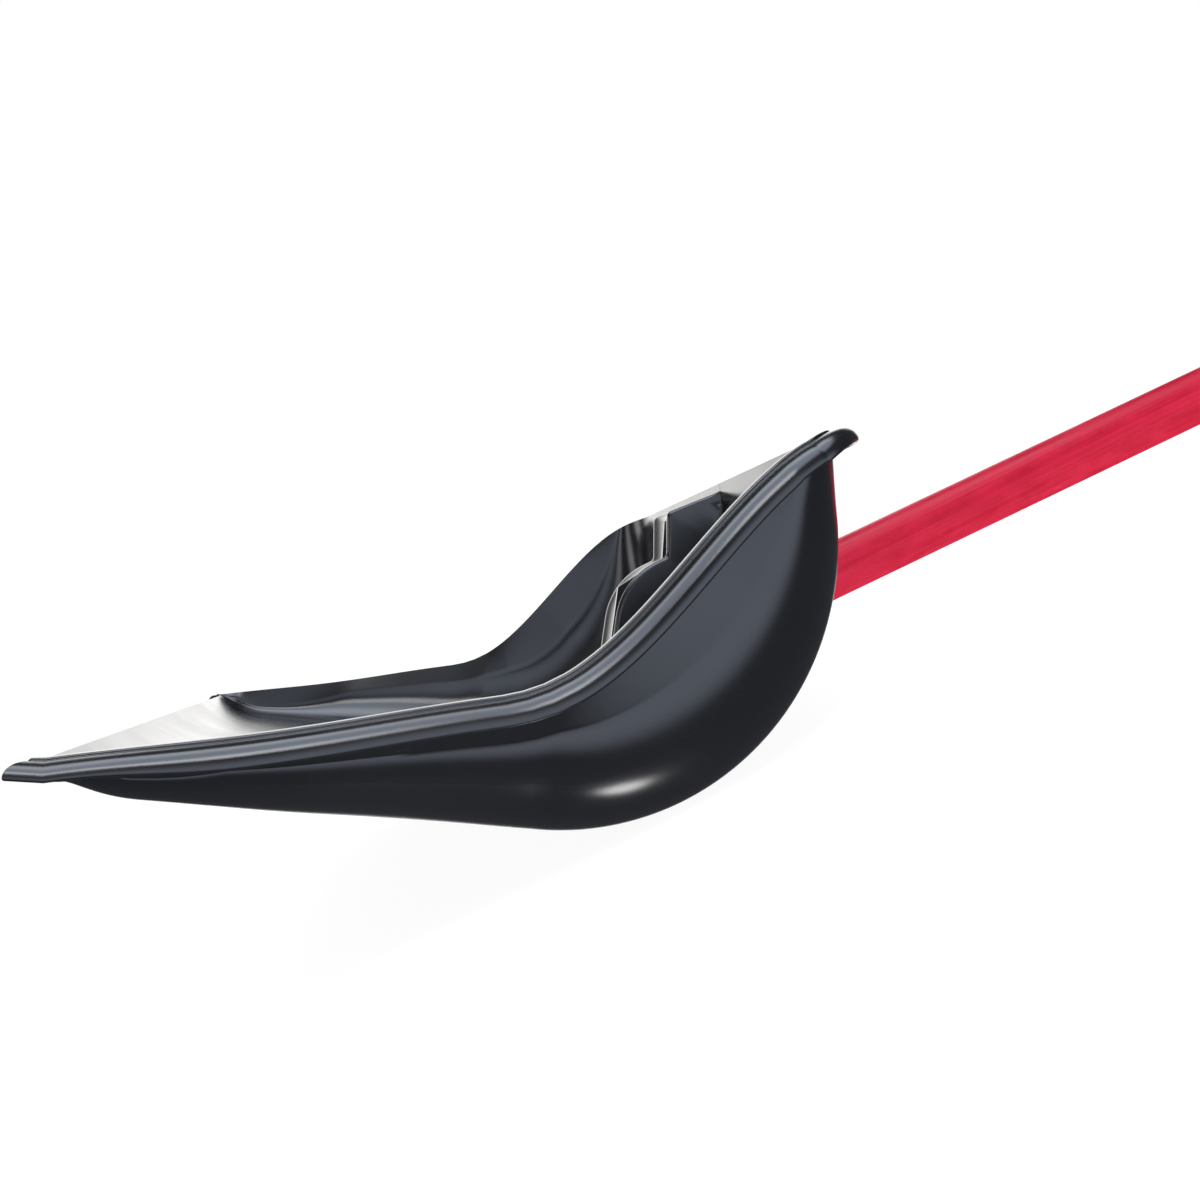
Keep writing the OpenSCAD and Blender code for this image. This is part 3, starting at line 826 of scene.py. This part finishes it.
def span(tree, value, low, high, out_low, out_high):
    return add(tree, "ShaderNodeMapRange", {"Value": value, "From Min": low, "From Max": high,
                                            "To Min": out_low, "To Max": out_high}).outputs["Result"]


def tinted(tree, fac, dark, light):
    node = add(tree, "ShaderNodeMix", data_type="RGBA")
    tree.links.new(fac, node.inputs["Factor"])
    colours = [s for s in node.inputs if s.type == "RGBA"]
    colours[0].default_value = (*dark, 1)
    colours[1].default_value = (*light, 1)
    return [s for s in node.outputs if s.type == "RGBA"][0]


def coordinates(tree, scale=(1, 1, 1), turn=(0, 0, 0)):
    where = add(tree, "ShaderNodeTexCoord").outputs["Object"]
    inputs = {"Vector": where, "Scale": scale, "Rotation": turn}
    return add(tree, "ShaderNodeMapping", inputs).outputs["Vector"]


def bump(tree, bsdf, height, strength, distance):
    node = add(tree, "ShaderNodeBump", {"Height": height, "Strength": strength, "Distance": distance})
    tree.links.new(node.outputs["Normal"], bsdf.inputs["Normal"])


def scoop_polymer():
    mat, tree, bsdf = material("scoop_polymer", (0.012, 0.013, 0.016), 0.2, IOR=1.5)
    where = coordinates(tree)
    flow = noise(tree, coordinates(tree, (1, 0.35, 1)), 9, 3)
    tint = tinted(tree, flow, (0.009, 0.010, 0.012), (0.017, 0.018, 0.022))
    tree.links.new(tint, bsdf.inputs["Base Color"])
    scuffs = noise(tree, coordinates(tree, (6, 60, 6), (0.2, 0, 0.5)), 6, 4, 0.6)
    cloud = noise(tree, where, 14, 4)
    rough = add(tree, "ShaderNodeMath", {0: span(tree, cloud, 0.35, 0.7, 0.17, 0.25),
                                         1: span(tree, scuffs, 0.62, 0.75, 0, 0.05)}, operation="ADD")
    tree.links.new(rough.outputs[0], bsdf.inputs["Roughness"])
    bump(tree, bsdf, noise(tree, where, 900, 2), 0.12, 0.00008)
    return mat


def red_fibreglass():
    mat, tree, bsdf = material("red_fibreglass", (0.64, 0.010, 0.045), 0.4, IOR=1.5, Specular_IOR_Level=0.2)
    turn = (0, -LIE, 0)
    streaks = noise(tree, coordinates(tree, (3, 240, 240), turn), 2.2, 4, 0.6)
    mottle = noise(tree, coordinates(tree, (40, 90, 90), turn), 1.3, 5, 0.65)
    shade_of = add(tree, "ShaderNodeMath", {0: streaks, 1: mottle}, operation="ADD").outputs[0]
    fac = span(tree, shade_of, 0.75, 1.25, 0, 1)
    tree.links.new(tinted(tree, fac, (0.58, 0.006, 0.036), (0.76, 0.018, 0.066)), bsdf.inputs["Base Color"])
    tree.links.new(span(tree, mottle, 0.3, 0.7, 0.32, 0.46), bsdf.inputs["Roughness"])
    bump(tree, bsdf, streaks, 0.15, 0.0001)
    return mat


def grained(name, dark, light, rough, grain, depth):
    mat, tree, bsdf = material(name, light, rough)
    where = coordinates(tree)
    fine = noise(tree, where, grain, 3)
    cloud = noise(tree, where, grain / 40, 3)
    tree.links.new(tinted(tree, cloud, dark, light), bsdf.inputs["Base Color"])
    tree.links.new(span(tree, fine, 0.3, 0.7, rough - 0.07, rough + 0.07), bsdf.inputs["Roughness"])
    bump(tree, bsdf, fine, 0.5, depth)
    return mat


def zinc_steel():
    mat, tree, bsdf = material("zinc_steel", (0.62, 0.63, 0.65), 0.3, Metallic=1.0)
    where = coordinates(tree)
    spangle = add(tree, "ShaderNodeTexVoronoi", {"Vector": where, "Scale": 700}).outputs["Distance"]
    tree.links.new(tinted(tree, spangle, (0.50, 0.51, 0.54), (0.70, 0.71, 0.72)), bsdf.inputs["Base Color"])
    tree.links.new(span(tree, noise(tree, where, 350, 3), 0.3, 0.7, 0.22, 0.40), bsdf.inputs["Roughness"])
    return mat


def core_wood():
    mat, tree, bsdf = material("core_wood", (0.5, 0.33, 0.17), 0.6)
    grain = noise(tree, coordinates(tree, (6, 300, 300), (0, -LIE, 0)), 1.5, 5, 0.6)
    tree.links.new(tinted(tree, grain, (0.34, 0.20, 0.09), (0.60, 0.42, 0.23)), bsdf.inputs["Base Color"])
    tree.links.new(span(tree, grain, 0.3, 0.7, 0.5, 0.7), bsdf.inputs["Roughness"])
    bump(tree, bsdf, grain, 0.4, 0.0002)
    return mat


def dress(piece, mat):
    piece.data.materials.clear()
    piece.data.materials.append(mat)


# ---- Camera, floor and light ----
# The camera stands level with the scoop's side, 736 mm from the middle plane. Its axes are given in
# the frame of the view: x towards the grip, y away from the camera, z up. That frame is the blade
# frame turned by VIEW_TURN, with its origin at VIEW_X, VIEW_Z.
VIEW_TURN = math.radians(6.6)
VIEW_X, VIEW_Z = 114.0, 71.0
CAMERA_Y = -736.25
CAMERA_AIM = Vector((0.14247, 0.98954, 0.02274))
CAMERA_UP = Vector((-0.00324, -0.02250, 0.99974))
FOCAL = 41.9022
SENSOR_W = 36.0
# Half the floor's width in metres, and the light that it gives off
FLOOR_HALF = 30.0
FLOOR_GLOW = 0.93


def make_camera():
    data = bpy.data.cameras.new("camera")
    data.sensor_width = SENSOR_W
    data.lens = FOCAL
    data.clip_start, data.clip_end = 0.01, 50
    camera = bpy.data.objects.new("camera", data)
    bpy.context.scene.collection.objects.link(camera)
    turn = TURN.to_3x3() @ Matrix.Rotation(-VIEW_TURN, 3, "Y")
    aim, up = turn @ CAMERA_AIM, turn @ CAMERA_UP
    right = aim.cross(up).normalized()
    up = right.cross(aim).normalized()
    rot = Matrix((right, up, -aim)).transposed()
    camera.matrix_world = Matrix.Translation(LAID @ Vector((VIEW_X, CAMERA_Y, VIEW_Z))) @ rot.to_4x4()
    bpy.context.scene.camera = camera


def softbox(name, at, towards, size, power):
    data = bpy.data.lights.new(name, "AREA")
    data.shape = "RECTANGLE"
    data.size, data.size_y = size
    data.energy = power
    light = bpy.data.objects.new(name, data)
    bpy.context.scene.collection.objects.link(light)
    light.location = at
    light.rotation_mode = "QUATERNION"
    light.rotation_quaternion = (Vector(towards) - Vector(at)).to_track_quat("-Z", "Y")


def make_floor():
    mesh = bpy.data.meshes.new("floor")
    h = FLOOR_HALF
    mesh.from_pydata([(-h, -h, 0), (h, -h, 0), (h, h, 0), (-h, h, 0)], [], [(0, 1, 2, 3)])
    floor = bpy.data.objects.new("floor", mesh)
    bpy.context.scene.collection.objects.link(floor)
    mat, tree, bsdf = material("floor", (0.5, 0.5, 0.5), 0.9, Specular_IOR_Level=0.0)
    fine = noise(tree, coordinates(tree), 3, 2)
    tree.links.new(tinted(tree, fine, (0.28, 0.28, 0.28), (0.32, 0.32, 0.32)), bsdf.inputs["Base Color"])
    bsdf.inputs["Emission Color"].default_value = (1, 1, 1, 1)
    bsdf.inputs["Emission Strength"].default_value = FLOOR_GLOW
    dress(floor, mat)
    floor.visible_glossy = False


# What shiny surfaces mirror. Round patches: towards, half angle, soft edge (degrees), light
PATCHES = [
    ((0.05, 0.97, 0.16), 20, 14, (2.2, 2.18, 2.15)),
    ((0.30, -0.94, -0.03), 19, 22, (1.6, 1.78, 2.15)),
    ((0.13, -0.14, 0.97), 20, 16, (3.1, 3.5, 4.2)),
    ((-0.05, -0.12, -0.99), 3, 4, (16.0, 16.0, 16.0)),
]
# Upright strips: azimuth from +Y towards +X, half width, soft edge (degrees), light
STRIPS = [
    (-150, 5, 4, (3.0, 3.0, 3.1)),
    (-95, 7, 5, (4.0, 4.0, 4.1)),
    (-48, 5, 4, (2.4, 2.4, 2.5)),
]
# Where the strips fade at the foot, at the top and to the side, as direction cosines: no light, full light
STRIP_FOOT = (-0.12, 0.0)
STRIP_TOP = (0.7, 0.45)
STRIP_AHEAD = (0, 0.2)
# The dark room round them, and the even light on matt surfaces
ROOM = (0.055, 0.055, 0.06)
MATT_LIGHT = (0.45, 0.45, 0.45)


def facing(tree, way, towards):
    return add(tree, "ShaderNodeVectorMath", {0: way, 1: Vector(towards).normalized()},
               operation="DOT_PRODUCT").outputs["Value"]


def soft_step(tree, value, low, high):
    return add(tree, "ShaderNodeMapRange", {"Value": value, "From Min": low, "From Max": high},
               interpolation_type="SMOOTHSTEP").outputs["Result"]


def times(tree, a, b):
    return add(tree, "ShaderNodeMath", {0: a, 1: b}, operation="MULTIPLY").outputs[0]


def lit(tree, room, amount, light):
    return add(tree, "ShaderNodeVectorMath", {0: amount, 1: light, 2: room},
               operation="MULTIPLY_ADD").outputs["Vector"]


def make_world():
    """White to the camera, even grey to matt surfaces. Shiny ones mirror a dark room with bright patches."""
    world = bpy.data.worlds.new("studio")
    bpy.context.scene.world = world
    world.use_nodes = True
    tree = world.node_tree
    back = tree.nodes["Background"]
    way = add(tree, "ShaderNodeTexCoord").outputs["Generated"]
    room = add(tree, "ShaderNodeCombineXYZ", dict(enumerate(ROOM))).outputs["Vector"]
    for towards, wide, soft, light in PATCHES:
        amount = soft_step(tree, facing(tree, way, towards), math.cos(math.radians(wide + soft)),
                           math.cos(math.radians(wide)))
        room = lit(tree, room, amount, light)
    height = facing(tree, way, (0, 0, 1))
    upright = times(tree, soft_step(tree, height, *STRIP_FOOT), soft_step(tree, height, *STRIP_TOP))
    for azimuth, wide, soft, light in STRIPS:
        a = math.radians(azimuth)
        aside = add(tree, "ShaderNodeMath", {0: facing(tree, way, (math.cos(a), -math.sin(a), 0))},
                    operation="ABSOLUTE").outputs[0]
        across = soft_step(tree, aside, math.sin(math.radians(wide + soft)), math.sin(math.radians(wide)))
        ahead = soft_step(tree, facing(tree, way, (math.sin(a), math.cos(a), 0)), *STRIP_AHEAD)
        room = lit(tree, room, times(tree, times(tree, across, ahead), upright), light)
    ray = add(tree, "ShaderNodeLightPath").outputs
    mirrored = add(tree, "ShaderNodeVectorMath", {0: room, 1: ray["Is Glossy Ray"]}, operation="MULTIPLY")
    matt = lit(tree, mirrored.outputs["Vector"], ray["Is Diffuse Ray"], MATT_LIGHT)
    seen = add(tree, "ShaderNodeVectorMath", {0: matt, 1: ray["Is Camera Ray"]}, operation="MAXIMUM")
    tree.links.new(seen.outputs["Vector"], back.inputs["Color"])
    back.inputs["Strength"].default_value = 1.0


# ---- Build ----
black = scoop_polymer()
red = red_fibreglass()
zinc = zinc_steel()
wood = core_wood()
grip_black = grained("grip_polymer", (0.014, 0.014, 0.016), (0.026, 0.026, 0.029), 0.48, 1400, 0.0001)
rubber = grained("grip_rubber", (0.022, 0.022, 0.024), (0.038, 0.038, 0.041), 0.72, 900, 0.00015)

dress(make_scoop(), black)
dress(make_shaft(), red)
for fastener in make_fasteners():
    dress(fastener, zinc)
dress(make_grip(), grip_black)
dress(make_cushion(), rubber)
for name in ("lower_core", "upper_core"):
    dress(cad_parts[name], wood)

make_floor()
make_world()
make_camera()
softbox("key", (-0.2, -1.2, 1.6), (0.0, 0, 0.1), (0.7, 0.5), 8)
softbox("top", (-0.1, 0.1, 1.9), (-0.1, 0, 0), (2.0, 0.7), 8)
bpy.context.scene.view_settings.view_transform = "Standard"
